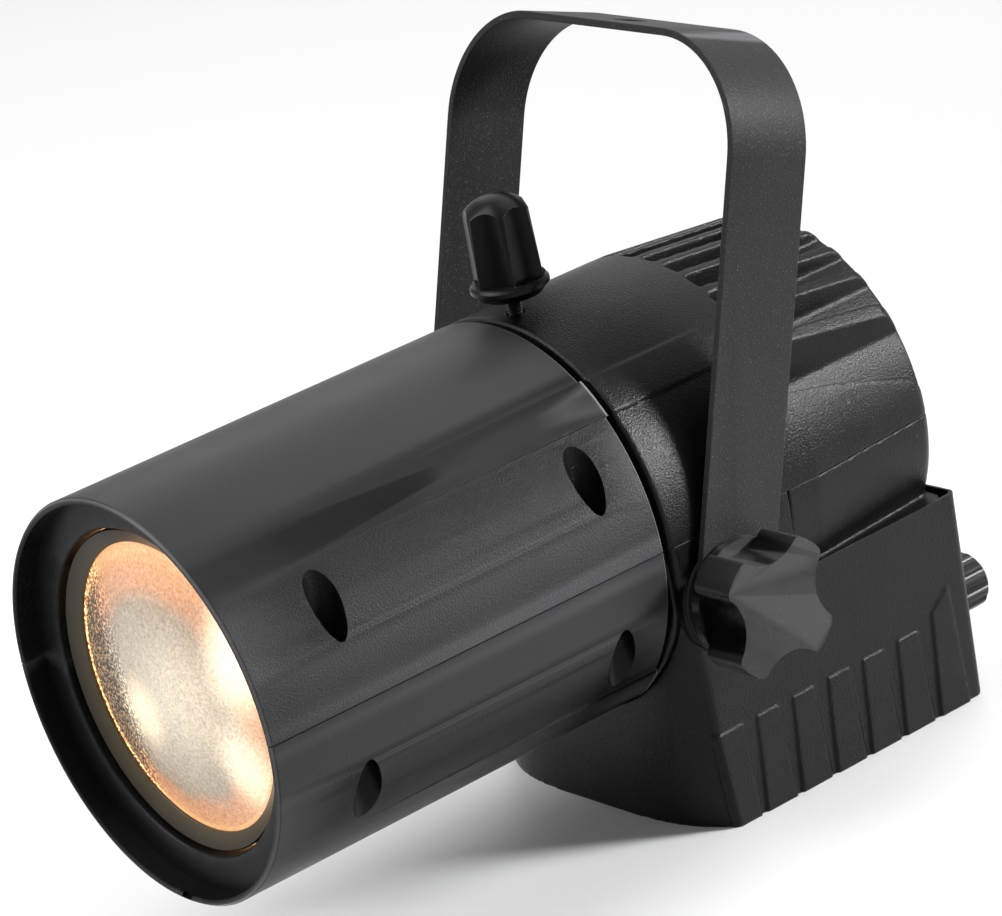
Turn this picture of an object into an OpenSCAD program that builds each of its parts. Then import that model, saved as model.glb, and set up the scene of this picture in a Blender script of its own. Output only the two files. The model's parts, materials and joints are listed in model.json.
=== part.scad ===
// Compact LED follow spot: a split focusing barrel that slides in a finned housing,
// on a driver base with pivot towers, hung from a flat-bar yoke with clamping knobs.
// Millimetres. Light leaves towards -Y, +Z is up. The origin is on the base's
// underside, straight below the tilt axis.

/* [Barrel] */
// Outer radius of the barrel and of the housing behind it
body_r = 54; // [53.5:0.1:54]
// Length of the sliding barrel
barrel_len = 125.5; // [122:0.5:128]
// Depth of the lip in front of the lens cell
lip_depth = 6.8; // [6:0.1:7.5]
// Radius of the lens cell's opening
cell_r = 43.5; // [43.4:0.1:44]
// Distance of the barrel screws from the mid-plane
screw_x = 47.4; // [46.5:0.1:47.5]
// Radius of the screw wells
well_r = 4.3; // [4.2:0.1:4.6]

/* [Lens] */
// Height of the lens's convex front
lens_sag = 7.5; // [6:0.5:8]
// Clear radius inside the retaining ring
ring_in_r = 38.5; // [38:0.1:39]

/* [Focus] */
// Gap between the barrel and the housing when pushed home
seam_gap = 2; // [1.5:0.1:2.5]
// Outer radius of the sliding sleeve
sleeve_r = 40; // [39.5:0.1:40]
// Distance from the housing's front to the clamping stud
stud_back = 7; // [6.5:0.1:7.5]

/* [Housing] */
// Height of the optical axis above the base's underside
axis_z = 84; // [84:0.1:85]
// Length of the housing
housing_len = 97; // [96:0.5:98]
// Where the cooling fins begin, from the tilt axis
fin_start = 33.5; // [33:0.5:35]
// Distance between neighbouring fins
fin_pitch = 8.2; // [8:0.1:8.3]
// Thickness of a fin
fin_t = 2.5; // [2:0.1:3]
// Radius of the floor between the fins
fin_floor_r = 47.5; // [47:0.1:48]

/* [Base] */
// Half the base's width at its underside
base_half_w = 46.5; // [46:0.1:47]
// Height of the rim round the base's top
rim_z = 61.2; // [60.5:0.1:61.5]
// Rear end of the pivot towers
tower_end = 25; // [24:0.5:26]
// Height of the tilt axis
tilt_z = 65.5; // [65:0.1:66]

/* [Yoke] */
// Width over the yoke's arms
yoke_w = 114.5; // [114.5:0.1:116]
// Height of the crossbar above the tilt axis
yoke_h = 141; // [138:1:146]
// Width of the flat bar
bar_w = 25; // [24:1:26]
// Thickness of the flat bar
bar_t = 2; // [1.8:0.1:2]
// Outer radius of the yoke's bends
bend_r = 30; // [26:1:34]
// Lean of the yoke to the rear
yoke_lean = 18.9; // [10:0.1:25]
// Diameter of the hanging hole
hang_d = 9; // [8.5:0.5:11]

/* [Knobs] */
// Radius over the lobes of a tilt knob
lobe_r = 18.5; // [18:0.1:19]
// Height of a tilt knob's lobes
lobe_h = 13; // [12:0.5:14]
// Height of the focus knob
focus_h = 27; // [26:0.5:28]

/* [Hidden] */
$fn = 96;

eps = 0.01;
slide_gap = 0.06;        // radial running clearance of the sleeve
thread_gap = 0.05;       // radial clearance of a stud in its insert
hinge_gap = 0.05;        // side clearance of the yoke on its washers

// Barrel stations along Y
housing_front = -15.5;
barrel_rear = housing_front - seam_gap;
barrel_front = barrel_rear - barrel_len;
cell_front = barrel_front + lip_depth;
wall = 2.8;
barrel_in_r = body_r - wall;
lip_in_r = body_r - 1.8;
lens_back = cell_front + 8.7;
lens_edge_t = 3;
lens_edge_r = 43.2;
lens_dome_r = 41;
lens_front = lens_back - lens_edge_t;
gasket_t = 1;
ledge_back = lens_back + gasket_t + 3;
screw_front_y = barrel_front + 28;
screw_rear_y = barrel_rear - 15;
screw_seat = 8;          // seat of a screw head or nut, from the parting plane
web_a = -59;             // webs that hold the sleeve
web_b = -53;
web_c = -23;
web_t = 4;
flange_r = 44;
band_low = 40;           // side bands, degrees up from the parting plane
band_high = 52;
band_h = 0.8;
groove_w = 0.35;         // shadow gap between the halves
groove_depth = 0.8;

// Sleeve
sleeve_front = -62;
sleeve_rear = 27.9;
sleeve_t = 2;
stop_r = 42;             // end stop at the sleeve's rear
stop_t = 1.8;
focus_travel = 20;

// Housing stations
housing_rear = housing_front + housing_len;
cavity_front = 28;
cavity_r = 44;
rear_wall = 4;
end_round = 5.5;
end_r = 50.5;            // envelope radius just before the rear rounding
taper_start = 36;
fins_each_side = 5;
side_edge_x = 48.9;      // inner edge of the smooth side below the lowest fin
tread_z = 7;             // lowest floor of the outermost groove, above the axis
guide_t = 4;
guide_rear = sleeve_rear - stop_t - focus_travel - guide_t - 0.1;
focus_y = housing_front + stud_back;
post_xz = 20;            // posts behind the heat sink, off the axis
post_r = 3.5;

// Base
side_slope = (52.4 - 46.5) / 61.2;
tower_top_w = base_half_w + side_slope * axis_z;
base_front = -13.8;
base_bulge = 8.8;
base_rear = 86;
base_rear_top = 81.9;    // where the rear wall would be at the parting plane
rear_slope = (base_rear - base_rear_top) / axis_z;
tray_wall = 2.6;
tray_floor = 3;
lip_t = 1.2;             // thickness of the rim above its ledge
ledge_z = rim_z - 3.5;
plate_t = 2.5;
plate_gap = 0.8;
plate_neck = 47;         // half width of the plate between the towers
tower_in = body_r - 3;
pad_x = body_r + 0.05;
pad_r = 15;
groove_pitch = 12.7;
pad_top = 27.8;
pad_draft = 4.7;         // the pads' own slope, less than the wall's
pad_stand = 0.5;         // how far a pad's top edge stands out
pillar_r = 4.5;
pillars = [[41, -2], [-41, -2], [43, 74], [-43, 74]];
case_posts = [[27, 14], [-27, 14], [27, 50], [-27, 50]];

// Yoke and clamps
arm_out = yoke_w / 2;
arm_in = arm_out - bar_t;
stud_r = 3;
insert_r = 5;
insert_in = 44.5;
washer_t = 1;
skirt_r = 16;
skirt_h = 2.6;
knob_base = arm_out + hinge_gap + washer_t;

// Focus clamp
focus_stud_r = 2;
focus_flange_z = axis_z + body_r + 4.9;
focus_flange_h = 4;

// Electrics
fuse_x = 33;
fuse_z = 25.8;
fuse_seat = 4.8;         // thickness of the rear wall at the fuse holder
inlet_x = -24;
inlet_z = 20;
board_z = 8;
board_t = 1.6;
led_y = 34;
holder_x = 17.8;         // the holder's screws, off the axis

// Points of an outline's front edge, flat in the middle and drawn back at its ends
function bulge(half_w, front, back) =
    [for (i = [-12:12]) [half_w * i / 12, front + back * pow(abs(i) / 12, 4)]];

// Puts a shape drawn round Z on the optical axis, with Z becoming Y
module on_axis() {
    translate([0, 0, axis_z]) rotate([-90, 0, 0]) children();
}

// A disc or tube on the optical axis between two stations
module ring(y0, y1, r_out, r_in = 0) {
    on_axis() translate([0, 0, y0]) difference() {
        cylinder(r = r_out, h = y1 - y0);
        if (r_in > 0) translate([0, 0, -1]) cylinder(r = r_in, h = y1 - y0 + 2);
    }
}

module upper_half() {
    intersection() {
        children();
        translate([-100, -200, axis_z]) cube([200, 400, 100]);
    }
}

module lower_half() {
    intersection() {
        children();
        translate([-100, -200, axis_z - 100]) cube([200, 400, 100]);
    }
}

// A cylinder along X from x0 to x1, at a height and a station
module along_x(x0, x1, r, y = 0, z = tilt_z) {
    translate([x0, y, z]) rotate([0, 90, 0]) cylinder(r = r, h = x1 - x0);
}

// A cylinder along Y from y0 to y1
module along_y(y0, y1, r, x, z) {
    translate([x, y0, z]) rotate([-90, 0, 0]) cylinder(r = r, h = y1 - y0);
}

// Copies for both sides
module both_sides() {
    children();
    mirror([1, 0, 0]) children();
}

// ---- barrel ----

// One raised side band that rises towards the seam
module side_band(y0, y1, h0, h1) {
    on_axis() rotate([0, 0, -band_high]) rotate_extrude(angle = band_high - band_low)
        polygon([[body_r - 1, y0], [body_r + h0, y0], [body_r + h1, y1], [body_r - 1, y1]]);
}

module side_bands(y0, y1, h0, h1) {
    both_sides() side_band(y0, y1, h0, h1);
}

// The barrel's wall, lip, lens cell and sleeve webs before it is split
module barrel_body() {
    on_axis() rotate_extrude() polygon([
        [lip_in_r, barrel_front + 0.5], [lip_in_r + 0.6, barrel_front], [body_r - 0.7, barrel_front],
        [body_r, barrel_front + 0.9], [body_r, barrel_rear - 0.6], [body_r - 0.6, barrel_rear],
        [barrel_in_r, barrel_rear], [barrel_in_r, ledge_back], [lens_dome_r - 1, ledge_back],
        [lens_dome_r - 1, lens_back + gasket_t], [cell_r, lens_back + gasket_t],
        [cell_r, cell_front + 0.4], [cell_r + 0.4, cell_front], [lip_in_r, cell_front - 0.6]
    ]);
    for (y = [web_a, web_b, web_c]) ring(y, y + web_t, barrel_in_r + 0.5, sleeve_r);
    side_bands(barrel_front + 20, barrel_rear, -0.05, band_h);
    translate([0, 0, 2 * axis_z]) mirror([0, 0, 1]) side_bands(barrel_front + 20, barrel_rear, -0.05, band_h);
    for (y = [screw_front_y, screw_rear_y]) both_sides() screw_boss(y);
}

// The post round a barrel screw, trimmed to the barrel's outside
module screw_boss(y) {
    intersection() {
        translate([screw_x, y, axis_z - 30]) cylinder(r = well_r + 2, h = 60);
        ring(y - 10, y + 10, body_r - 0.5);
        translate([sleeve_r + 0.3, y - 10, axis_z - 40]) cube([30, 20, 80]);
    }
}

// Wells and screw holes through both halves
module barrel_wells() {
    for (y = [screw_front_y, screw_rear_y]) both_sides() translate([screw_x, y, axis_z]) {
        translate([0, 0, screw_seat]) cylinder(r = well_r, h = 40);
        translate([0, 0, -screw_seat - 40]) cylinder(r = well_r, h = 40);
        translate([0, 0, -screw_seat - 1]) cylinder(r = 2.2, h = 2 * screw_seat + 2);
    }
}

// Shadow gap where the barrel's halves meet, round the outside
module parting_groove() {
    difference() {
        translate([-60, barrel_front - 1, axis_z - 1]) cube([120, barrel_len + 2, 1 + groove_w]);
        ring(barrel_front + groove_depth, barrel_rear - groove_depth, body_r - groove_depth);
    }
}

module barrel_upper_shell() {
    color([0.05, 0.05, 0.05]) upper_half() difference() {
        barrel_body();
        barrel_wells();
        parting_groove();
    }
}

module barrel_lower_shell() {
    color([0.05, 0.05, 0.05]) lower_half() difference() {
        barrel_body();
        barrel_wells();
        // drain notch in the lip
        translate([-2, barrel_front - 1, axis_z - body_r + 0.9]) cube([4, 2.4, 1.6]);
    }
}

// Pan-head machine screw standing on its head, shank upwards
module machine_screw(r, h, head_r, head_h) {
    difference() {
        union() {
            translate([0, 0, -head_h]) cylinder(r = head_r, h = head_h);
            translate([0, 0, -eps]) cylinder(r = r, h = h);
        }
        translate([0, 0, -head_h - 1]) cylinder(r = head_r * 0.5, h = 1 + head_h * 0.6, $fn = 6);
    }
}

module barrel_screws() {
    color([0.35, 0.35, 0.36]) for (y = [screw_front_y, screw_rear_y], x = [-screw_x, screw_x])
        translate([x, y, axis_z - screw_seat]) machine_screw(2, 2 * screw_seat + 4, 3.8, 3);
}

module barrel_nuts() {
    color([0.6, 0.6, 0.6]) for (y = [screw_front_y, screw_rear_y], x = [-screw_x, screw_x])
        translate([x, y, axis_z + screw_seat]) difference() {
            cylinder(r = 4.04, h = 3.2, $fn = 6);
            translate([0, 0, -1]) cylinder(r = 2 + thread_gap, h = 6);
        }
}

module lens() {
    sphere_r = (lens_dome_r * lens_dome_r + lens_sag * lens_sag) / (2 * lens_sag);
    color([0.95, 0.85, 0.7]) {
        ring(lens_front, lens_back, lens_edge_r);
        intersection() {
            ring(lens_front - lens_sag - 1, lens_front + eps, lens_dome_r);
            on_axis() translate([0, 0, lens_front - lens_sag + sphere_r]) sphere(r = sphere_r);
        }
    }
}

module lens_ring() {
    outer_r = cell_r - 0.7;
    color([0.22, 0.2, 0.14]) on_axis() rotate_extrude() polygon([
        [outer_r, lens_front - 3.6], [outer_r - 0.4, lens_front - 4], [ring_in_r, lens_front - 1.7],
        [ring_in_r, lens_front - 1], [lens_dome_r + 0.05, lens_front - 0.02],
        [outer_r, lens_front - 0.02]
    ]);
}

module lens_gasket() {
    color([0.08, 0.08, 0.08]) ring(lens_back, lens_back + gasket_t, lens_edge_r, lens_dome_r - 0.6);
}

module focus_sleeve() {
    color([0.7, 0.7, 0.72]) {
        ring(sleeve_front, sleeve_rear, sleeve_r, sleeve_r - sleeve_t);
        ring(web_a + web_t, web_b, flange_r, sleeve_r - eps);
        ring(sleeve_rear - stop_t, sleeve_rear, stop_r, sleeve_r - eps);
    }
}

// ---- housing ----

// The housing's outer form, tapering and rounded at the rear
module housing_envelope() {
    end_y = housing_rear - end_round;
    on_axis() rotate_extrude() polygon(concat(
        [[0, housing_front], [body_r - 0.6, housing_front]],
        [[body_r, housing_front + 0.6], [body_r, taper_start]],
        [for (a = [0:15:90]) [end_r - end_round + end_round * cos(a), end_y + end_round * sin(a)]],
        [[0, housing_rear]]
    ));
}

// Vertical slots between the fins, down to the floor radius
module fin_slots() {
    difference() {
        both_sides() for (i = [0:fins_each_side]) {
            x0 = i * fin_pitch + fin_t / 2;
            x1 = i == fins_each_side ? side_edge_x : (i + 1) * fin_pitch - fin_t / 2;
            translate([x0, fin_start, axis_z + tread_z]) cube([x1 - x0, housing_len, 60]);
        }
        ring(fin_start - 1, housing_rear + 10, fin_floor_r);
    }
}

// The hollow for the sleeve, the light source and the heat sink
module housing_cavity() {
    inner_r = body_r - 3;
    ring(housing_front - 1, housing_front + guide_t + 1, sleeve_r + slide_gap);
    ring(housing_front + guide_t, guide_rear, inner_r);
    ring(guide_rear - 1, guide_rear + guide_t + 1, sleeve_r + slide_gap);
    ring(guide_rear + guide_t, cavity_front, inner_r);
    ring(cavity_front - 1, housing_rear - rear_wall, cavity_r);
}

module heat_sink_posts() {
    for (x = [-post_xz, post_xz], z = [-post_xz, post_xz]) difference() {
        along_y(led_y + 6, housing_rear - rear_wall + 1, post_r, x, axis_z + z);
        along_y(led_y, led_y + 20, 1.3, x, axis_z + z);
    }
}

// Screw posts that pull the upper shell down, ahead of the heat sink
module shell_boss(x, y) {
    intersection() {
        translate([x, y, axis_z - 40]) cylinder(r = 4, h = 80);
        ring(y - 6, y + 6, body_r - 1);
    }
}

module housing_upper_shell() {
    color([0.06, 0.06, 0.06]) upper_half() difference() {
        union() {
            difference() {
                union() {
                    housing_envelope();
                    side_bands(housing_front, fin_start - 12, band_h, 0.3);
                }
                fin_slots();
                housing_cavity();
            }
            heat_sink_posts();
            intersection() {
                translate([0, focus_y, axis_z + 43]) cylinder(r = 7, h = 12);
                ring(housing_front, 10, body_r - 0.5);
            }
            both_sides() shell_boss(46.6, 21);
        }
        translate([0, focus_y, axis_z + 40]) cylinder(r = 3.5, h = 11.6);
        translate([0, focus_y, axis_z + 40]) cylinder(r = 2.5, h = 20);
        both_sides() translate([46.6, 21, axis_z - 1]) cylinder(r = 1.6, h = 13);
    }
}

// Space that the base's towers take out of the housing's lower half
module tower_space(gap) {
    both_sides() translate([tower_in - gap, housing_front - 1, 0])
        cube([20, tower_end - housing_front + 1 + gap, axis_z + eps]);
}

// Plate that closes the base, with rounded corners inside the rim
module top_plate() {
    half_w = base_half_w + side_slope * rim_z - lip_t - plate_gap;
    end_y = base_rear - rear_slope * rim_z - lip_t - plate_gap;
    start_y = housing_front + 4;
    translate([0, 0, ledge_z]) linear_extrude(plate_t) difference() {
        offset(r = 5) offset(delta = -5)
            translate([-half_w, start_y - 20]) square([2 * half_w, end_y - start_y + 20]);
        translate([-60, start_y - 30]) square([120, 30]);
        // room for the towers' inner walls
        for (x = [-60, plate_neck]) translate([x, start_y - 1])
            square([60 - plate_neck, tower_end - start_y + 1.4]);
    }
}

module housing_lower_shell() {
    color([0.06, 0.06, 0.06]) lower_half() difference() {
        union() {
            difference() {
                union() {
                    housing_envelope();
                    top_plate();
                }
                housing_cavity();
            }
            heat_sink_posts();
            for (p = pillars) if (p[1] > 0) translate([p[0], p[1], ledge_z - 8])
                cylinder(r = pillar_r, h = 9);
            both_sides() shell_boss(46.6, 21);
        }
        difference() {
            tower_space(0.1);
            both_sides() translate([40, 17, 0]) cube([8.6 + 2, 8, 100]);
        }
        both_sides() along_x(insert_in - 4, 60, insert_r + 3.3);
        for (p = pillars) if (p[1] > 0) translate([p[0], p[1], ledge_z - 9]) cylinder(r = 1.6, h = 11);
        both_sides() translate([46.6, 21, 0]) cylinder(r = 2.2, h = 100);
        both_sides() translate([46.6, 21, 0]) cylinder(r = 3.7, h = axis_z - 8);
        // way for the light source's leads
        translate([0, led_y - 2.3, 20]) cylinder(r = 5, h = 30);
        // ends of the front plate beside the towers
        translate([-60, housing_front - 5, 0]) cube([120, 5, 60]);
    }
}

module housing_screws() {
    color([0.35, 0.35, 0.36]) both_sides()
        translate([46.6, 21, axis_z - 8]) machine_screw(1.55, 18, 3.2, 2.4);
}

module heat_sink() {
    color([0.75, 0.76, 0.78]) difference() {
        union() {
            ring(led_y, led_y + 6, cavity_r - 0.1);
            intersection() {
                ring(led_y + 5, housing_rear - rear_wall - 4, cavity_r - 1);
                for (i = [-7:7]) translate([i * 5.6 - 0.8, led_y + 5, axis_z - 50]) cube([1.6, 40, 100]);
            }
        }
        for (x = [-post_xz, post_xz], z = [-post_xz, post_xz]) {
            along_y(led_y + 6, housing_rear, post_r + 0.6, x, axis_z + z);
            along_y(led_y - 1, led_y + 7, 1.7, x, axis_z + z);
        }
        for (a = [0, 180]) on_axis() rotate([0, 0, a]) translate([holder_x, 0, led_y - 1])
            cylinder(r = 1.3, h = 8);
        on_axis() translate([0, 0, led_y - 1]) cylinder(r = 1.3, h = 8);
    }
}

module heat_sink_screws() {
    color([0.35, 0.35, 0.36]) for (x = [-post_xz, post_xz], z = [-post_xz, post_xz])
        translate([x, led_y, axis_z + z]) rotate([-90, 0, 0]) machine_screw(1.25, 18, 2.8, 2);
}

module led_board() {
    color([0.85, 0.85, 0.82]) translate([-12, led_y - 1.4, axis_z - 12]) cube([24, 1.4, 24]);
}

module led_emitter() {
    color([0.95, 0.75, 0.25]) ring(led_y - 2, led_y - 1.4, 7.5);
}

module led_holder() {
    color([0.9, 0.9, 0.88]) difference() {
        ring(led_y - 4.4, led_y, 20.5, 9.5);
        translate([-12.2, led_y - 1.6, axis_z - 12.2]) cube([24.4, 2, 24.4]);
        for (a = [0, 180]) on_axis() rotate([0, 0, a]) translate([holder_x, 0, led_y - 6])
            cylinder(r = 1.6, h = 8);
        translate([-4.4, led_y - 5, axis_z - 24]) cube([8.8, 6, 15]);
    }
}

module led_holder_screws() {
    color([0.5, 0.5, 0.5]) for (x = [-holder_x, holder_x])
        translate([x, led_y - 4.4, axis_z]) rotate([-90, 0, 0]) machine_screw(1.25, 9, 2.4, 1.6);
}

module reflector() {
    color([0.9, 0.9, 0.92]) on_axis() rotate_extrude() polygon(concat(
        [for (i = [0:10]) [9.6 + 24 * pow(i / 10, 0.72), led_y - 4.5 - 22 * i / 10]],
        [for (i = [10:-1:0]) [10.8 + 24 * pow(i / 10, 0.72), led_y - 4.5 - 22 * i / 10]]
    ));
}

module led_leads() {
    foot_z = board_z + board_t;
    color([0.7, 0.1, 0.08]) for (x = [-2, 2]) translate([x, led_y - 2.3, foot_z])
        cylinder(r = 0.9, h = axis_z - 10 - foot_z);
}

// ---- base ----

// Outline of the base at one height, with soft corners
module base_outline(half_w, front, back, rear, inset = 0) {
    offset(r = 3 - inset) offset(delta = -3) polygon(concat(
        bulge(half_w, front, back), [[half_w, rear], [-half_w, rear]]
    ));
}

// Solid of the whole base up to the parting plane, drawn in by a wall's thickness
module base_solid(inset = 0) {
    hull() {
        linear_extrude(eps) base_outline(base_half_w, base_front, base_bulge, base_rear, inset);
        translate([0, 0, axis_z - eps]) linear_extrude(eps)
            base_outline(tower_top_w, housing_front, 0, base_rear_top, inset);
    }
}

// Raised pad on the base's right side, standing out more towards the bottom
module side_pad(top, bottom, z_left, z_right) {
    z_mid = (z_left + z_right) / 2;
    y_mid = (top[0] + top[1]) / 2;
    corners = [[top[0], z_left], [bottom[0], -1], [bottom[1], -1], [top[1], z_right]];
    translate([base_half_w + side_slope * z_mid + pad_stand, y_mid, z_mid])
        rotate([0, pad_draft, 0]) rotate([90, 0, 90]) translate([0, 0, -2]) linear_extrude(2)
            polygon([for (p = corners) [p[0] - y_mid, p[1] - z_mid]]);
}

module side_pads() {
    intersection() {
        union() {
            side_pad([-20, 0.2], [-20, 2.9], pad_top, pad_top);
            for (i = [0:4]) {
                y = i * groove_pitch;
                side_pad([5.4 + y, 12.9 + y], [5 + y, 15.7 + y], pad_top, pad_top);
            }
            side_pad([69.3, 75.8], [68.8, 79.8], 30.6, 36.2);
        }
        hull() {
            linear_extrude(eps) base_outline(base_half_w + 1, base_front, base_bulge, base_rear);
            translate([0, 0, axis_z]) linear_extrude(eps)
                base_outline(tower_top_w + 1, housing_front, 0, base_rear_top);
        }
    }
}

module base_tray() {
    color([0.06, 0.06, 0.06]) difference() {
        union() {
            difference() {
                intersection() {
                    base_solid();
                    translate([-body_r, -50, 0]) cube([2 * body_r, 200, 200]);
                }
                // inside of the tray, up to the ledge and then up to the rim
                intersection() {
                    base_solid(tray_wall);
                    translate([-60, -50, tray_floor]) cube([120, 200, 200]);
                }
                intersection() {
                    base_solid(lip_t);
                    translate([-60, tower_end, ledge_z]) cube([120, 200, 60]);
                }
                // rim height behind the towers
                translate([-70, tower_end, rim_z]) cube([140, 200, 60]);
                // seat of the housing between the towers
                intersection() {
                    ring(housing_front - 20, housing_rear, body_r + 0.15);
                    translate([-tower_in, -60, 0]) cube([2 * tower_in, 200, 200]);
                }
                translate([-tower_in, housing_front - 5, axis_z - 12]) cube([2 * tower_in, 60, 20]);
            }
            both_sides() intersection() {
                along_x(insert_in, pad_x, pad_r);
                union() {
                    along_x(insert_in, pad_x, insert_r + 3);
                    along_x(tower_in, pad_x, pad_r);
                }
                translate([0, housing_front, 0]) cube([80, 100, axis_z]);
            }
            for (p = pillars) translate([p[0], p[1], 0])
                cylinder(r = pillar_r, h = p[1] > 0 ? ledge_z - 8.1 : 30);
            both_sides() side_pads();
            // flat seats for the fuse holder and the inlet
            along_y(base_rear - fuse_seat, base_rear, 9.5, fuse_x, fuse_z);
            translate([inlet_x - 17, base_rear - 5, inlet_z - 13.5]) cube([34, 5, 27]);
            for (p = case_posts) translate([p[0], p[1], 0]) cylinder(r = 3, h = board_z);
        }
        both_sides() along_x(insert_in - 1, pad_x + 1, insert_r);
        for (p = pillars) if (p[1] > 0) translate([p[0], p[1], -1]) {
            cylinder(r = 2.2, h = 80);
            cylinder(r = 4, h = 4);
        }
        along_y(70, 100, 6.1, fuse_x, fuse_z);
        translate([inlet_x - 13.6, 60, inlet_z - 10.1]) cube([27.2, 40, 20.2]);
    }
}

module base_screws() {
    color([0.35, 0.35, 0.36]) for (p = pillars) if (p[1] > 0)
        translate([p[0], p[1], 3]) machine_screw(1.55, ledge_z - 6, 3.6, 2.4);
}

// ---- electrics ----

module driver_board() {
    color([0.05, 0.3, 0.12]) translate([-33, 8, board_z]) difference() {
        cube([60, 48, board_t]);
        for (x = [6, 54], y = [6, 42]) translate([x, y, -1]) cylinder(r = 1.6, h = 4);
    }
}

module driver_transformer() {
    color([0.7, 0.6, 0.2]) translate([-28, 14, board_z + board_t]) {
        cube([20, 17, 3]);
        translate([2, 1.5, 0]) cube([16, 14, 15]);
        translate([0, 0, 12]) cube([20, 17, 3]);
    }
}

module driver_capacitors() {
    color([0.1, 0.12, 0.3]) for (p = [[16, 18], [16, 40]])
        translate([p[0], p[1], board_z + board_t]) cylinder(r = 5, h = 14);
}

module terminal_block() {
    color([0.1, 0.45, 0.2]) translate([-31, 44, board_z + board_t]) cube([14, 8, 10]);
}

module mains_leads() {
    color([0.15, 0.3, 0.7]) for (x = [-28, -20])
        along_y(52, 60, 0.9, x, inlet_z - 3);
}

module power_inlet() {
    color([0.07, 0.07, 0.07]) difference() {
        union() {
            translate([inlet_x - 15.5, base_rear, inlet_z - 12]) cube([31, 2, 24]);
            translate([inlet_x - 13.4, 60, inlet_z - 9.9]) cube([26.8, base_rear - 60, 19.8]);
        }
        translate([inlet_x - 11.5, 70, inlet_z - 7.5]) cube([23, 20, 15]);
    }
}

module inlet_pins() {
    color([0.8, 0.75, 0.5]) for (p = [[-7, -2], [0, 2], [7, -2]])
        translate([inlet_x + p[0] - 1, 58, inlet_z + p[1] - 2]) cube([2, 25, 4]);
}

module fuse_holder() {
    color([0.05, 0.05, 0.05]) difference() {
        union() {
            along_y(56, base_rear + eps, 6, fuse_x, fuse_z);
            along_y(base_rear, base_rear + 1.4, 8.6, fuse_x, fuse_z);
        }
        along_y(58, 100, 4, fuse_x, fuse_z);
    }
}

module fuse_nut() {
    color([0.5, 0.5, 0.5]) difference() {
        translate([fuse_x, base_rear - fuse_seat - 3, fuse_z]) rotate([-90, 30, 0])
            cylinder(r = 9, h = 2.9, $fn = 6);
        along_y(70, 90, 6 + thread_gap, fuse_x, fuse_z);
    }
}

module fuse() {
    color([0.85, 0.85, 0.85]) along_y(60, 80, 2.5, fuse_x, fuse_z);
}

module fuse_cap() {
    y0 = base_rear + 1.6;
    cap_r = 7.9;
    grip_len = 10.8;
    color([0.05, 0.05, 0.05]) difference() {
        union() {
            along_y(y0, y0 + grip_len, cap_r, fuse_x, fuse_z);
            translate([fuse_x, y0 + grip_len - eps, fuse_z]) rotate([-90, 0, 0])
                cylinder(r1 = cap_r, r2 = 6.4, h = 1.5);
            along_y(80.5, y0 + 1, 3.6, fuse_x, fuse_z);
        }
        for (a = [0:30:330]) translate([fuse_x, y0 + 1.4, fuse_z]) rotate([-90, a, 0])
            translate([cap_r + 1, 0, 0]) cylinder(r = 1.6, h = 14);
    }
}

// ---- yoke and tilt clamps ----

module pivot_insert() {
    difference() {
        along_x(insert_in, pad_x - 0.3, insert_r);
        along_x(insert_in - 1, 60, stud_r + thread_gap);
    }
}

module pivot_insert_left() {
    color([0.8, 0.65, 0.3]) mirror([1, 0, 0]) pivot_insert();
}

module pivot_insert_right() {
    color([0.8, 0.65, 0.3]) pivot_insert();
}

module friction_washer() {
    difference() {
        along_x(pad_x, arm_in - hinge_gap, 14.5);
        along_x(pad_x - 1, arm_in + 1, stud_r + 0.3);
    }
}

module friction_washer_left() {
    color([0.15, 0.13, 0.12]) mirror([1, 0, 0]) friction_washer();
}

module friction_washer_right() {
    color([0.15, 0.13, 0.12]) friction_washer();
}

// Area inside the bent bar's outer or inner face
module bend_outline(half_w, top, r) {
    translate([-half_w, -50]) square([2 * half_w, top - r + 50]);
    translate([-half_w + r, -50]) square([2 * (half_w - r), top + 50]);
    for (x = [-half_w + r, half_w - r]) translate([x, top - r]) circle(r = r);
}

// Flat bar bent to a U, with round ends at the pivots
module yoke() {
    color([0.05, 0.05, 0.05]) translate([0, 0, tilt_z]) rotate([-yoke_lean, 0, 0]) difference() {
        intersection() {
            rotate([90, 0, 0]) linear_extrude(bar_w, center = true) difference() {
                bend_outline(arm_out, yoke_h, bend_r);
                bend_outline(arm_in, yoke_h - bar_t, bend_r - bar_t);
            }
            union() {
                translate([-100, -bar_w / 2, 0]) cube([200, bar_w, 200]);
                along_x(-100, 100, bar_w / 2, 0, 0);
            }
        }
        along_x(-100, 100, stud_r + 0.3, 0, 0);
        translate([0, 0, yoke_h - 10]) cylinder(d = hang_d, h = 20);
    }
}

module clamp_washer() {
    difference() {
        along_x(arm_out + hinge_gap, knob_base, 9);
        along_x(arm_out - 1, knob_base + 1, stud_r + 0.2);
    }
}

module clamp_washer_left() {
    color([0.6, 0.6, 0.6]) mirror([1, 0, 0]) clamp_washer();
}

module clamp_washer_right() {
    color([0.6, 0.6, 0.6]) clamp_washer();
}

// Four-lobed outline of a tilt knob
module lobes() {
    offset(r = 2, $fn = 40) offset(delta = -2) difference() {
        circle(r = lobe_r, $fn = 72);
        for (a = [0:90:270]) rotate(a) translate([24, 0]) circle(r = 11.8, $fn = 72);
    }
}

// Skirted clamping knob with its socket for the stud
module tilt_knob() {
    difference() {
        translate([knob_base, 0, tilt_z]) rotate([0, 90, 0]) {
            cylinder(r = skirt_r, h = skirt_h);
            translate([0, 0, skirt_h - eps]) linear_extrude(lobe_h) lobes();
        }
        along_x(knob_base - 1, knob_base + 10, stud_r);
    }
}

module tilt_knob_left() {
    color([0.04, 0.04, 0.04]) mirror([1, 0, 0]) tilt_knob();
}

module tilt_knob_right() {
    color([0.04, 0.04, 0.04]) tilt_knob();
}

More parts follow.
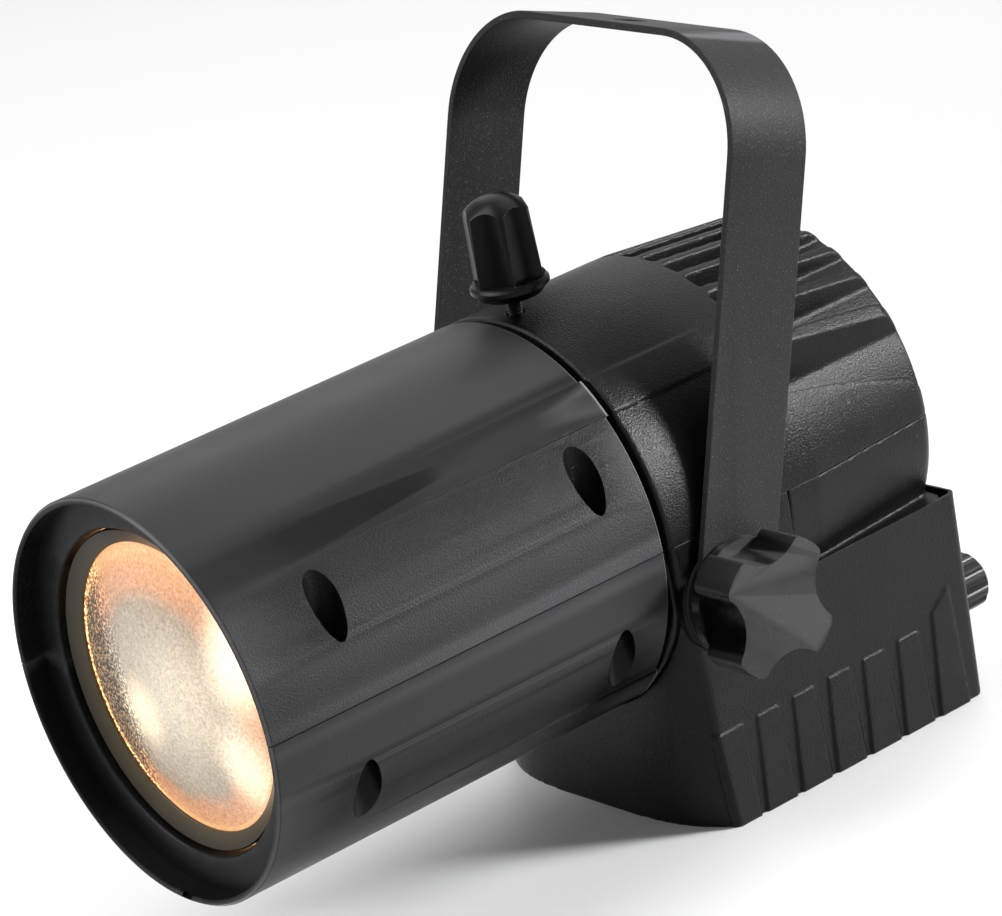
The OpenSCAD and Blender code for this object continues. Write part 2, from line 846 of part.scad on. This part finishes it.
module tilt_stud() {
    along_x(insert_in - 1.5, knob_base + 10, stud_r);
}

module tilt_stud_left() {
    color([0.6, 0.6, 0.62]) mirror([1, 0, 0]) tilt_stud();
}

module tilt_stud_right() {
    color([0.6, 0.6, 0.62]) tilt_stud();
}

// ---- focus clamp ----

module focus_insert() {
    color([0.8, 0.65, 0.3]) translate([0, focus_y, axis_z + 43]) difference() {
        cylinder(r = 3.5, h = 8.6);
        translate([0, 0, -1]) cylinder(r = focus_stud_r + thread_gap, h = 13);
    }
}

module focus_stud() {
    stud_foot = axis_z + sleeve_r + 2;
    stud_end = focus_flange_z + 12;
    color([0.1, 0.1, 0.1]) translate([0, focus_y, stud_foot])
        cylinder(r = focus_stud_r, h = stud_end - stud_foot);
}

module focus_pad() {
    color([0.9, 0.9, 0.85]) translate([0, focus_y, axis_z + sleeve_r + 0.1]) cylinder(r = 1.9, h = 1.9);
}

// Tall domed knob with six flutes that run out through the dome
module focus_knob() {
    dome_r = 11.5;
    dome_z = focus_h - dome_r;
    color([0.04, 0.04, 0.04]) translate([0, focus_y, focus_flange_z]) difference() {
        rotate_extrude() polygon(concat(
            [[0, 0], [8.2, 0], [9.2, 1.2], [10.4, 2.2], [10.4, 3.2], [9.7, focus_flange_h]],
            [for (a = [39:6:87]) [dome_r * cos(a), dome_z + dome_r * sin(a)]],
            [[0, focus_h]]
        ));
        for (a = [0:60:300]) rotate(a) translate([20.4, 0, focus_flange_h + 0.3]) cylinder(r = 12.9, h = 40);
        translate([0, 0, -1]) cylinder(r = focus_stud_r, h = 13);
    }
}

barrel_upper_shell();
barrel_lower_shell();
barrel_screws();
barrel_nuts();
lens();
lens_ring();
lens_gasket();
focus_sleeve();
housing_upper_shell();
housing_lower_shell();
housing_screws();
heat_sink();
heat_sink_screws();
led_board();
led_emitter();
led_holder();
led_holder_screws();
reflector();
led_leads();
base_tray();
base_screws();
driver_board();
driver_transformer();
driver_capacitors();
terminal_block();
mains_leads();
power_inlet();
inlet_pins();
fuse_holder();
fuse_nut();
fuse();
fuse_cap();
pivot_insert_left();
pivot_insert_right();
friction_washer_left();
friction_washer_right();
yoke();
clamp_washer_left();
clamp_washer_right();
tilt_knob_left();
tilt_knob_right();
tilt_stud_left();
tilt_stud_right();
focus_insert();
focus_stud();
focus_knob();
focus_pad();
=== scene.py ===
import json
import math

import bmesh
import bpy
from mathutils import Euler, Matrix, Vector, noise


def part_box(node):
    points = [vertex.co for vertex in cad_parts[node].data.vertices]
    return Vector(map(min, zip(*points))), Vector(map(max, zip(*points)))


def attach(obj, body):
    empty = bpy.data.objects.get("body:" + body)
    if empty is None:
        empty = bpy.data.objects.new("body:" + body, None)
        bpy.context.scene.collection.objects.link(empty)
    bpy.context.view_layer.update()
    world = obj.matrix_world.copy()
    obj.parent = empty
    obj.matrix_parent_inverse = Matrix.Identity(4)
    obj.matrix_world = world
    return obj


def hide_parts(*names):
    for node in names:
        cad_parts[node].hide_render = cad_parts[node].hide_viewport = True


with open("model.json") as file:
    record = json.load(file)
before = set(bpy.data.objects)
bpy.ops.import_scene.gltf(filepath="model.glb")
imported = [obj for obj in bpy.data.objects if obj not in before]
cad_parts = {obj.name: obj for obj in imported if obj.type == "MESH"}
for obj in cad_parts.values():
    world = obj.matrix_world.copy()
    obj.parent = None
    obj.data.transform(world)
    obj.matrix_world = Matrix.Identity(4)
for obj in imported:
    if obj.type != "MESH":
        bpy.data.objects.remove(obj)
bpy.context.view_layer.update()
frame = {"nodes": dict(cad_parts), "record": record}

LENS_LOW, LENS_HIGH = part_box("lens")
LENS_R = (LENS_HIGH.x - LENS_LOW.x) / 2
AXIS_Z = (LENS_LOW.z + LENS_HIGH.z) / 2
BARREL_LOW, BARREL_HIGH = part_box("barrel_upper_shell")
BARREL_R = (BARREL_HIGH.x - BARREL_LOW.x) / 2

# share of the lens's radius that lights up inside its ring
LIT_SHARE = 0.89

# scale of the cast shells' leather grain, and its share of the full depth where it runs all round
LEATHER_SCALE = 1900.0
LEATHER_SHARE = 0.6
# degrees above the parting plane between which a flank's grain ends
FLANK_END = (38, 42)
# degrees either side of the parting plane, and the share of the grain that is left below it
PARTING = (-1.5, 1.5)
BELOW_SHARE = 0.25

# colours of rubbed plastic and paint, and of the painted highlight along the barrel's rim edges
RUBBED = (0.13, 0.13, 0.135)
RIM_HIGHLIGHT = (0.16, 0.16, 0.165)
# how strong the painted highlight on the barrel's rim edges is, the distances from the end face between
# which it fades, and the depths under the outer wall between which it sets in
RIM_HIGHLIGHT_SHARE = 0.7
RIM_FADE = (0.0002, 0.0008)
RIM_DEPTHS = (0.0008, 0.0003)

# the two tones of each near-black surface
SHELL_BLACK = ((0.0016, 0.0016, 0.0018), (0.0032, 0.0032, 0.0034))
DEEP_BLACK = ((0.001, 0.001, 0.001), (0.002, 0.002, 0.002))


# ---- shader nodes ----

def new_material(name):
    """An empty Principled material and its shader node."""
    mat = bpy.data.materials.new(name)
    mat.use_nodes = True
    tree = mat.node_tree
    tree.nodes.clear()
    out = tree.nodes.new("ShaderNodeOutputMaterial")
    shader = tree.nodes.new("ShaderNodeBsdfPrincipled")
    tree.links.new(shader.outputs["BSDF"], out.inputs["Surface"])
    return mat, tree, shader


def fill(tree, n, inputs):
    """Sets a node's inputs, each to a value or to a link from another node's output."""
    for key, value in inputs.items():
        if isinstance(value, bpy.types.NodeSocket):
            tree.links.new(value, n.inputs[key])
        else:
            n.inputs[key].default_value = value


def node(tree, kind, inputs=None, **props):
    n = tree.nodes.new(kind)
    for key, value in props.items():
        setattr(n, key, value)
    fill(tree, n, inputs or {})
    return n


def object_coord(tree):
    return node(tree, "ShaderNodeTexCoord").outputs["Object"]


def maths(tree, operation, *inputs):
    return node(tree, "ShaderNodeMath", dict(enumerate(inputs)), operation=operation).outputs["Value"]


def vector_maths(tree, operation, *inputs):
    n = node(tree, "ShaderNodeVectorMath", dict(enumerate(inputs)), operation=operation)
    return n.outputs["Vector"]


def scaled(tree, colour, factor):
    """A colour made lighter or darker."""
    inputs = {0: colour, "Scale": factor}
    return node(tree, "ShaderNodeVectorMath", inputs, operation="SCALE").outputs["Vector"]


def mapped(tree, value, source=(0.0, 1.0), target=(0.0, 1.0), interpolation="LINEAR"):
    """A value carried from one range to another, and held at its ends."""
    inputs = {
        "Value": value, "From Min": source[0], "From Max": source[1],
        "To Min": target[0], "To Max": target[1],
    }
    return node(tree, "ShaderNodeMapRange", inputs, interpolation_type=interpolation).outputs["Result"]


def mixed(tree, factor, under, over, **props):
    """One colour turned towards another."""
    inputs = {"Factor": factor, "A": under, "B": (*over, 1)}
    return node(tree, "ShaderNodeMix", inputs, data_type="RGBA", **props).outputs["Result"]


def mottle(tree, coord, scale, detail=2.0, roughness=0.5, distortion=0.0):
    """Noise, from 0 to 1."""
    inputs = {
        "Vector": coord, "Scale": scale, "Detail": detail,
        "Roughness": roughness, "Distortion": distortion,
    }
    return node(tree, "ShaderNodeTexNoise", inputs).outputs["Fac"]


def bumped(tree, height, strength, distance, over=None):
    """The surface normal with a relief on it, laid over another relief's normal where one is given."""
    inputs = {"Height": height, "Strength": strength, "Distance": distance}
    if over is not None:
        inputs["Normal"] = over
    return node(tree, "ShaderNodeBump", inputs).outputs["Normal"]


def colour_ramp(tree, value, stops):
    """A colour for a value, between (position, colour) stops."""
    n = node(tree, "ShaderNodeValToRGB", {"Fac": value})
    elements = n.color_ramp.elements
    while len(elements) < len(stops):
        elements.new(0.5)
    for element, (position, colour) in zip(elements, stops):
        element.position = position
        element.color = (*colour, 1)
    return n.outputs["Color"]


def axis_distance(tree, coord, x=0.0, z=0.0, stretch=(1.0, 1.0, 1.0)):
    """Distance from the optical axis, or from the line that lies x and z off it."""
    flat = vector_maths(tree, "MULTIPLY", coord, (1.0, 0.0, 1.0))
    away = vector_maths(tree, "SUBTRACT", flat, (x, 0.0, AXIS_Z + z))
    sized = vector_maths(tree, "MULTIPLY", away, stretch)
    return node(tree, "ShaderNodeVectorMath", {0: sized}, operation="LENGTH").outputs["Value"]


def side_mask(tree, coord):
    """1 on the flanks, as seen from the optical axis, 0 on the top, and less below the parting plane."""
    split = node(tree, "ShaderNodeSeparateXYZ", {"Vector": coord})
    across = maths(tree, "ABSOLUTE", split.outputs["X"])
    height = maths(tree, "SUBTRACT", split.outputs["Z"], AXIS_Z)
    angle = maths(tree, "ARCTAN2", height, across)
    upper = mapped(tree, angle, [math.radians(a) for a in FLANK_END], (1.0, 0.0))
    lower = mapped(tree, angle, [math.radians(a) for a in PARTING], (BELOW_SHARE, 1.0))
    return maths(tree, "MULTIPLY", upper, lower)


def rim_highlight_mask(tree, coord, station):
    """A painted highlight along the barrel's outer edge at a station along Y, where a rounded edge would
    catch the light, and 0 elsewhere.
    """
    split = node(tree, "ShaderNodeSeparateXYZ", {"Vector": coord})
    gap = maths(tree, "ABSOLUTE", maths(tree, "SUBTRACT", split.outputs["Y"], station))
    near = mapped(tree, gap, RIM_FADE, (RIM_HIGHLIGHT_SHARE, 0.0))
    radius = axis_distance(tree, coord)
    outer = mapped(tree, radius, [BARREL_R - depth for depth in RIM_DEPTHS])
    return maths(tree, "MULTIPLY", near, outer)


# ---- materials ----

def textured(name, tones, rough, grain, depth, specular=0.5, ior=1.5, edge=0.0, speckle=0.0,
             flank=0.0, all_round=False, highlit_rims=(), lens_glow_span=None):
    """A moulded or coated surface: a grained bump, and a colour and a roughness that vary.

    tones and rough are the two ends of the colour and the roughness; grain is the fine bump's scale
    and depth its height. edge is how much lighter sharp edges are rubbed, speckle how light the
    paint's grains are. flank is the depth of a coarser leather grain, which is on the flanks only
    unless all_round is true. The rim stations get a painted highlight along their outer edge, and
    the lens glow span is the two distances from the optical axis between which a painted glow from
    the lens fades, the colour lighter inside and darker outside.
    """
    mat, tree, shader = new_material(name)
    coord = object_coord(tree)
    fine = mottle(tree, coord, grain, detail=3.0, roughness=0.6)
    cells = node(tree, "ShaderNodeTexVoronoi", {"Vector": coord, "Scale": grain * 0.8})
    cloud = mottle(tree, coord, 35.0, detail=5.0, roughness=0.55)
    relief = maths(tree, "ADD", fine, cells.outputs["Distance"])
    normal = bumped(tree, relief, strength=0.6, distance=depth)
    if flank:
        leather = mottle(tree, coord, LEATHER_SCALE, detail=3.0, roughness=0.55, distortion=0.2)
        share = LEATHER_SHARE if all_round else side_mask(tree, coord)
        relief = maths(tree, "MULTIPLY", leather, share)
        normal = bumped(tree, relief, strength=1.0, distance=flank, over=normal)
    colour = colour_ramp(tree, cloud, ((0.35, tones[0]), (0.68, tones[1])))
    if speckle:
        grains = mapped(tree, fine, source=(0.6, 0.72), target=(0.0, speckle))
        colour = mixed(tree, grains, colour, RUBBED)
    if edge:
        sharp = node(tree, "ShaderNodeNewGeometry").outputs["Pointiness"]
        worn = mapped(tree, sharp, source=(0.52, 0.62), target=(0.0, edge))
        colour = mixed(tree, worn, colour, RUBBED)
    # painted highlight: the outer edge at each rim station is lightened as if it caught the light
    for station in highlit_rims:
        colour = mixed(tree, rim_highlight_mask(tree, coord, station), colour, RIM_HIGHLIGHT)
    # painted light: the colour is lighter next to the glowing lens and darker further out, as if lit by
    # it
    if lens_glow_span:
        painted_glow = mapped(tree, axis_distance(tree, coord), source=lens_glow_span, target=(1.3, 0.3))
        colour = scaled(tree, colour, painted_glow)
    fill(tree, shader, {
        "Base Color": colour,
        "Roughness": mapped(tree, cloud, source=(0.3, 0.7), target=rough),
        "Normal": normal,
        "Specular IOR Level": specular,
        "IOR": ior,
    })
    return mat


def metal(name, low, high, rough):
    """A turned, plated or cast metal with fine marks."""
    mat, tree, shader = new_material(name)
    coord = object_coord(tree)
    marks = mottle(tree, coord, 900.0, detail=6.0, roughness=0.7)
    patch = mottle(tree, coord, 120.0, detail=3.0)
    fill(tree, shader, {
        "Base Color": colour_ramp(tree, patch, ((0.0, low), (1.0, high))),
        "Roughness": mapped(tree, marks, target=(rough * 0.8, rough * 1.25)),
        "Normal": bumped(tree, marks, strength=0.3, distance=0.00005),
        "Metallic": 1.0,
    })
    return mat


def glass(name):
    """Clear glass with a faint waviness."""
    mat, tree, shader = new_material(name)
    waves = mottle(tree, object_coord(tree), 400.0)
    fill(tree, shader, {
        "Base Color": (0.95, 0.95, 0.95, 1),
        "Transmission Weight": 1.0,
        "Roughness": 0.05,
        "IOR": 1.5,
        "Normal": bumped(tree, waves, strength=0.1, distance=0.0001),
    })
    return mat


def glowing_lens(name, half):
    """Pebbled glass lit from behind out to the radius half.

    It is cream in the middle and orange towards the rim, with five soft patches of light, and its
    left is in shade but for bright specks. Places are shares of the radius.
    """
    mat, tree, shader = new_material(name)
    coord = object_coord(tree)

    def from_point(x, z, stretch=(1.0, 1.0, 1.0)):
        return axis_distance(tree, coord, x * half, z * half, stretch)

    warp = mottle(tree, coord, 90.0, detail=3.0)
    shift = maths(tree, "MULTIPLY_ADD", warp, 0.12 * half, -0.06 * half)
    radius = maths(tree, "ADD", from_point(0.03, -0.04), shift)
    bands = colour_ramp(tree, mapped(tree, radius, source=(0.0, half)), (
        (0.0, (0.50, 0.42, 0.31)), (0.45, (0.42, 0.34, 0.24)), (0.66, (0.36, 0.27, 0.18)),
        (0.78, (0.6, 0.27, 0.12)), (0.93, (0.74, 0.34, 0.14)), (1.0, (0.95, 0.48, 0.2)),
    ))

    shade_distance = from_point(-0.9, -0.2, (1.0, 1.0, 0.5))
    shade = mapped(tree, shade_distance, (0.3 * half, 0.6 * half), (0.97, 0.0), "SMOOTHSTEP")
    colour = mixed(tree, shade, bands, (0.085, 0.05, 0.018))
    for x, z, reach, strength, tint, stretch in (
        (0.80, 0.40, 0.50, 1.25, (1.0, 0.86, 0.62), (1.3, 1.0, 0.75)),
        (0.69, -0.41, 0.42, 0.85, (1.0, 0.86, 0.62), (1.2, 1.0, 0.85)),
        (-0.25, -0.17, 0.34, 0.7, (1.0, 0.8, 0.48), (1.0, 1.0, 0.9)),
        (0.30, 0.05, 0.7, 0.36, (0.85, 0.72, 0.52), (1.0, 1.0, 1.0)),
        (0.1, 0.86, 0.6, 0.2, (0.9, 0.42, 0.16), (0.6, 1.0, 1.3)),
    ):
        away = from_point(x, z, stretch)
        glow = mapped(tree, away, (0.0, reach * half), (strength, 0.0), "SMOOTHERSTEP")
        colour = mixed(tree, glow, colour, tint, blend_type="ADD", clamp_factor=False)

    # a bright line where the edge of the glass catches the light
    rim = mapped(tree, from_point(0.0, 0.0), (0.955 * half, 0.985 * half), (0.0, 0.85), "SMOOTHSTEP")
    colour = mixed(tree, rim, colour, (1.0, 0.5, 0.2))

    pebble = mottle(tree, coord, 1300.0, roughness=0.6)
    even = mapped(tree, pebble, source=(0.33, 0.67), target=(0.8, 1.15))
    sparkling = mapped(tree, pebble, source=(0.48, 0.64), target=(0.15, 6.0))
    glint = node(tree, "ShaderNodeMix", {"Factor": shade, "A": even, "B": sparkling}, data_type="FLOAT")
    fill(tree, shader, {
        "Base Color": mapped(tree, pebble, source=(0.3, 0.7), target=(0.05, 0.12)),
        "Roughness": 0.18,
        "IOR": 1.5,
        "Normal": bumped(tree, pebble, strength=0.5, distance=0.0003),
        "Emission Color": scaled(tree, colour, glint.outputs["Result"]),
        "Emission Strength": 1.0,
    })
    return mat


MATS = {
    "barrel_shell": textured(
        "barrel_plastic", SHELL_BLACK, (0.3, 0.4), 2600.0, 0.00003,
        ior=1.2, edge=0.3, flank=0.0003, highlit_rims=(BARREL_LOW.y, BARREL_HIGH.y)),
    "housing_shell": textured(
        "housing_plastic", SHELL_BLACK, (0.27, 0.36), 2400.0, 0.00005,
        ior=1.25, edge=0.1, flank=0.0003, all_round=True),
    "yoke_paint": textured(
        "yoke_powder", DEEP_BLACK, (0.36, 0.48), 2200.0, 0.0001,
        specular=0.4, ior=1.2, edge=0.5, speckle=0.5),
    "knob_plastic": textured(
        "knob_plastic", DEEP_BLACK, (0.24, 0.34), 1800.0, 0.00002, ior=1.24, edge=0.2),
    "black_plastic": textured(
        "black_plastic", ((0.006, 0.006, 0.006), (0.01, 0.01, 0.01)), (0.4, 0.5), 1800.0, 0.00006,
        specular=0.18),
    "white_plastic": textured(
        "white_plastic", ((0.7, 0.69, 0.65), (0.8, 0.79, 0.76)), (0.35, 0.5), 900.0, 0.00003),
    # the ring's colour carries painted light from the glowing lens, lighter at its inner edge
    "lens_ring": textured(
        "ring_plastic", ((0.03, 0.022, 0.011), (0.042, 0.033, 0.018)), (0.3, 0.42), 900.0, 0.00004,
        specular=0.25, lens_glow_span=(0.039, 0.0432)),
    "gasket": textured(
        "gasket_rubber", ((0.01, 0.01, 0.01), (0.02, 0.02, 0.02)), (0.6, 0.8), 900.0, 0.00005),
    "fibre": textured(
        "fibre", ((0.012, 0.011, 0.01), (0.02, 0.018, 0.016)), (0.7, 0.9), 900.0, 0.00008,
        specular=0.2),
    "emitter": textured(
        "emitter", ((0.8, 0.5, 0.05), (0.9, 0.65, 0.1)), (0.3, 0.4), 600.0, 0.00004),
    "board": textured(
        "board", ((0.02, 0.16, 0.05), (0.04, 0.22, 0.08)), (0.3, 0.45), 600.0, 0.00004),
    "transformer": textured(
        "transformer", ((0.5, 0.38, 0.06), (0.6, 0.47, 0.1)), (0.3, 0.4), 600.0, 0.00004),
    "capacitor": textured(
        "capacitor", ((0.02, 0.03, 0.1), (0.03, 0.05, 0.16)), (0.2, 0.3), 600.0, 0.00003),
    "terminal": textured(
        "terminal", ((0.03, 0.22, 0.07), (0.05, 0.3, 0.1)), (0.35, 0.45), 600.0, 0.00004),
    "red_wire": textured(
        "red_wire", ((0.45, 0.02, 0.015), (0.55, 0.04, 0.03)), (0.3, 0.4), 600.0, 0.00003),
    "blue_wire": textured(
        "blue_wire", ((0.03, 0.1, 0.45), (0.05, 0.14, 0.55)), (0.3, 0.4), 600.0, 0.00003),
    "aluminium": metal("aluminium", (0.62, 0.63, 0.65), (0.75, 0.76, 0.78), 0.3),
    "reflector": metal("reflector", (0.85, 0.85, 0.86), (0.92, 0.92, 0.93), 0.08),
    "zinc_steel": metal("zinc_steel", (0.28, 0.28, 0.29), (0.42, 0.42, 0.43), 0.32),
    "black_screw": metal("black_screw", (0.03, 0.03, 0.032), (0.06, 0.06, 0.064), 0.35),
    "brass": metal("brass", (0.6, 0.42, 0.15), (0.75, 0.56, 0.25), 0.25),
    "lens_glass": glowing_lens("lens_glass", LENS_R * LIT_SHARE),
    "fuse_glass": glass("fuse_glass"),
}

SLOT_OF = {s["node"]: s["material_slot"] for s in frame["record"]["subparts"]}
BODY_OF = {n: b for b, nodes in frame["record"]["behaviour"]["bodies"].items() for n in nodes}
for name, obj in frame["nodes"].items():
    obj.data.materials.clear()
    obj.data.materials.append(MATS[SLOT_OF[name]])


# ---- pieces ----

def add_piece(name, mesh, node_name):
    """A visible piece that stands for a CAD node."""
    obj = bpy.data.objects.new(name, mesh)
    bpy.context.scene.collection.objects.link(obj)
    mesh.materials.clear()
    mesh.materials.append(MATS[SLOT_OF[node_name]])
    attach(obj, BODY_OF[node_name])
    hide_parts(node_name)
    return obj


def clean_copy(node_name):
    """The CAD node's mesh in a bmesh, without doubled vertices and edges of no length."""
    bm = bmesh.new()
    bm.from_mesh(frame["nodes"][node_name].data)
    bmesh.ops.remove_doubles(bm, verts=bm.verts, dist=1e-6)
    bmesh.ops.dissolve_degenerate(bm, edges=bm.edges, dist=2e-6)
    return bm


def to_mesh(bm, name, angle=32.0):
    """A mesh from a bmesh, smooth but for edges sharper than the angle."""
    bmesh.ops.recalc_face_normals(bm, faces=bm.faces)
    limit = math.radians(angle)
    for f in bm.faces:
        f.smooth = True
    for e in bm.edges:
        e.smooth = e.is_manifold and e.calc_face_angle(0.0) < limit
    mesh = bpy.data.meshes.new(name)
    bm.to_mesh(mesh)
    bm.free()
    return mesh


def edged(node_name, width):
    """The CAD shape with its flat faces whole again, and its edges broken by a small rounding."""
    sharp_angle, flat_angle = 35.0, 0.6
    flat_limit = math.radians(flat_angle)
    bm = clean_copy(node_name)
    bmesh.ops.dissolve_limit(bm, angle_limit=flat_limit, verts=bm.verts, edges=bm.edges)
    mesh = to_mesh(bm, node_name + "_edged", sharp_angle)
    obj = add_piece(node_name + ".edged", mesh, node_name)
    bevel = obj.modifiers.new("edge", "BEVEL")
    bevel.width = width
    bevel.segments = 2
    bevel.limit_method = "ANGLE"
    bevel.angle_limit = math.radians(sharp_angle)
    bevel.use_clamp_overlap = True
    bevel.miter_outer = "MITER_ARC"
    # faces of no width, where two roundings meet, close up
    weld = obj.modifiers.new("weld", "WELD")
    weld.merge_threshold = 5e-6
    shade = obj.modifiers.new("shade", "WEIGHTED_NORMAL")
    shade.mode = "FACE_AREA"
    shade.weight = 100
    shade.keep_sharp = False


def turned(node_name):
    """The CAD shape with exact normals where it is turned about the optical axis: no facet shows."""
    # cosine to the radial direction above which a face is part of a turned wall
    wall_lean = 0.99
    mesh = to_mesh(clean_copy(node_name), node_name + "_turned")
    normals = []
    for poly in mesh.polygons:
        out = Vector((poly.center.x, 0.0, poly.center.z - AXIS_Z)).normalized()
        lean = poly.normal.dot(out)
        for index in poly.vertices:
            co = mesh.vertices[index].co
            exact = Vector((co.x, 0.0, co.z - AXIS_Z)).normalized() * (1 if lean > 0 else -1)
            normals.append(exact if abs(lean) > wall_lean else Vector())
    mesh.normals_split_custom_set(normals)
    add_piece(node_name + ".turned", mesh, node_name)


def cast(node_name, voxel, rounds):
    """The CAD shape as cast or moulded: every edge and inside corner a little round."""
    mesh = to_mesh(clean_copy(node_name), node_name + "_cast", angle=180)
    obj = add_piece(node_name + ".cast", mesh, node_name)
    remesh = obj.modifiers.new("skin", "REMESH")
    remesh.mode = "VOXEL"
    remesh.voxel_size = voxel
    remesh.use_smooth_shade = True
    soft = obj.modifiers.new("soft", "SMOOTH")
    soft.factor = 0.5
    soft.iterations = rounds


def lathe(profile, turns):
    """A closed solid turned about the optical axis.

    The profile is (radius, station along Y) points, and its first and last are on the axis.
    """
    bm = bmesh.new()
    rows = []
    for radius, station in profile:
        centre = Vector((0, station, AXIS_Z))
        row = []
        for i in range(turns if radius else 1):
            a = math.tau * i / turns
            row.append(bm.verts.new(centre + radius * Vector((math.cos(a), 0, math.sin(a)))))
        rows.append(row)
    for a, b in zip(rows, rows[1:]):
        for i in range(turns):
            j = (i + 1) % turns
            ring = [a[i % len(a)], a[j % len(a)], b[j % len(b)], b[i % len(b)]]
            bm.faces.new(list(dict.fromkeys(ring)))
    return bm


def pebbled_lens():
    """The lens with a close-set pebble pattern pressed into its dome."""
    flange_w, flange_t = 0.0022, 0.003
    front_break, rear_break = 0.0003, 0.0002
    pitch, depth, pebble_r = 0.0017, 0.00022, 0.6
    plain_rim = 0.001
    steps, turns = 96, 288

    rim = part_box("lens_gasket")[0].y
    dome_r = LENS_R - flange_w
    front, dome_foot = LENS_LOW.y, rim - flange_t
    sag = dome_foot - front
    sphere_r = (dome_r ** 2 + sag ** 2) / (2 * sag)
    profile = [(0.0, front)]
    for i in range(1, steps + 1):
        r = dome_r * i / steps
        profile.append((r, front + sphere_r - math.sqrt(sphere_r ** 2 - r ** 2)))
    profile += [
        (LENS_R - front_break, dome_foot), (LENS_R, dome_foot + front_break),
        (LENS_R, rim - rear_break), (LENS_R - rear_break, rim), (0.0, rim),
    ]
    bm = lathe(profile, turns)
    for v in bm.verts:
        r = math.hypot(v.co.x, v.co.z - AXIS_Z)
        if v.co.y < dome_foot - 1e-5 and r < dome_r - plain_rim:
            nearest = noise.voronoi(v.co / pitch)[0][0]
            v.co.y += depth * min(1.0, nearest / pebble_r)
    add_piece("lens.pebbled", to_mesh(bm, "lens_pebbled", angle=60), "lens")


def threaded_rod(node_name, pitch):
    """The upright stud with its thread cut: a helix whose ends run out flat."""
    turns, rows_per_pitch = 36, 8
    depth = 0.6 * pitch  # of an ISO thread
    low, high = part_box(node_name)
    radius = (high.x - low.x) / 2
    centre = (low + high) / 2
    count = round((high.z - low.z) / pitch * rows_per_pitch)
    bm = bmesh.new()
    rows = []
    for k in range(count + 1):
        z = low.z + (high.z - low.z) * k / count
        end = min(1.0, min(z - low.z, high.z - z) / pitch)
        row = []
        for i in range(turns):
            phase = ((z - low.z) / pitch - i / turns) % 1.0
            groove = abs(2 * phase - 1)
            r = radius - depth * (groove * end + (1 - end))
            a = math.tau * i / turns
            row.append(bm.verts.new((centre.x + r * math.cos(a), centre.y + r * math.sin(a), z)))
        rows.append(row)
    for a, b in zip(rows, rows[1:]):
        for i in range(turns):
            j = (i + 1) % turns
            bm.faces.new((a[i], a[j], b[j], b[i]))
    bm.faces.new(list(reversed(rows[0])))
    bm.faces.new(rows[-1])
    add_piece(node_name + ".threaded", to_mesh(bm, node_name + "_threaded", angle=50), node_name)


pebbled_lens()
threaded_rod("focus_stud", pitch=0.0007)
for node_name, width in (
    ("yoke", 0.0003),
    ("tilt_knob_left", 0.0006), ("tilt_knob_right", 0.0006), ("focus_knob", 0.0003),
    ("fuse_cap", 0.0002), ("fuse_holder", 0.0002), ("power_inlet", 0.0004), ("lens_ring", 0.00015),
    ("barrel_screws", 0.0001), ("barrel_nuts", 0.0001), ("friction_washer_left", 0.0001),
    ("friction_washer_right", 0.0001), ("clamp_washer_left", 0.0001), ("clamp_washer_right", 0.0001),
    ("base_screws", 0.0001), ("focus_sleeve", 0.0002), ("inlet_pins", 0.0002),
):
    edged(node_name, width)
turned("barrel_upper_shell")
turned("barrel_lower_shell")
cast("housing_upper_shell", voxel=0.0005, rounds=4)
cast("housing_lower_shell", voxel=0.0005, rounds=3)
cast("base_tray", voxel=0.0004, rounds=3)


# ---- floor, light and camera ----

def studio():
    """A pale floor that the spot stands on, a white surround and five area lights aimed at it."""
    floor_half, floor_grey = 6, 0.64
    surround = 0.56
    lit_point = Vector((0, 0, 0.08))

    scene = bpy.context.scene
    mat, tree, shader = new_material("floor")
    patch = mottle(tree, object_coord(tree), 3.0)
    fill(tree, shader, {
        "Base Color": (floor_grey, floor_grey, floor_grey, 1),
        "Roughness": mapped(tree, patch, target=(0.45, 0.5)),
    })
    mesh = bpy.data.meshes.new("floor")
    corners = [(x * floor_half, y * floor_half, 0) for x, y in ((-1, -1), (1, -1), (1, 1), (-1, 1))]
    mesh.from_pydata(corners, [], [(0, 1, 2, 3)])
    floor = bpy.data.objects.new("floor", mesh)
    floor.data.materials.append(mat)
    scene.collection.objects.link(floor)
    world = bpy.data.worlds.new("studio")
    world.use_nodes = True
    world.node_tree.nodes["Background"].inputs["Color"].default_value = (1, 1, 1, 1)
    world.node_tree.nodes["Background"].inputs["Strength"].default_value = surround
    scene.world = world
    for name, loc, size, power, spread in (
        ("side", (0.88, 0.8, 0.6), 0.35, 1.15, 22),
        ("rear", (-0.9, 0.8, 1.0), 1.0, 3.4, 180),
        ("back", (0.1, 0.9, 1.45), 1.2, 7.0, 180),
        ("top", (-0.4, -0.8, 1.9), 1.4, 34.0, 180),
        ("front", (-1.0, -1.4, 1.5), 1.2, 20.0, 180),
    ):
        light = bpy.data.lights.new(name, "AREA")
        light.size = size
        light.energy = power
        light.spread = math.radians(spread)
        lamp = bpy.data.objects.new(name, light)
        lamp.location = loc
        lamp.rotation_mode = "QUATERNION"
        lamp.rotation_quaternion = (lit_point - Vector(loc)).to_track_quat("-Z", "Y")
        scene.collection.objects.link(lamp)


def camera():
    """A long lens from the front right, a little above the spot."""
    location = Vector((0.91177, -0.67288, 0.50447))
    turn = Euler([math.radians(a) for a in (69.87923, 10.97807, 50.49809)])
    scene = bpy.context.scene
    data = bpy.data.cameras.new("camera")
    data.sensor_width = 36.0
    data.lens = 166.37
    data.clip_start, data.clip_end = 0.05, 50.0
    cam = bpy.data.objects.new("camera", data)
    cam.matrix_world = Matrix.LocRotScale(location, turn, None)
    scene.collection.objects.link(cam)
    scene.camera = cam
    scene.view_settings.view_transform = "Standard"


studio()
camera()
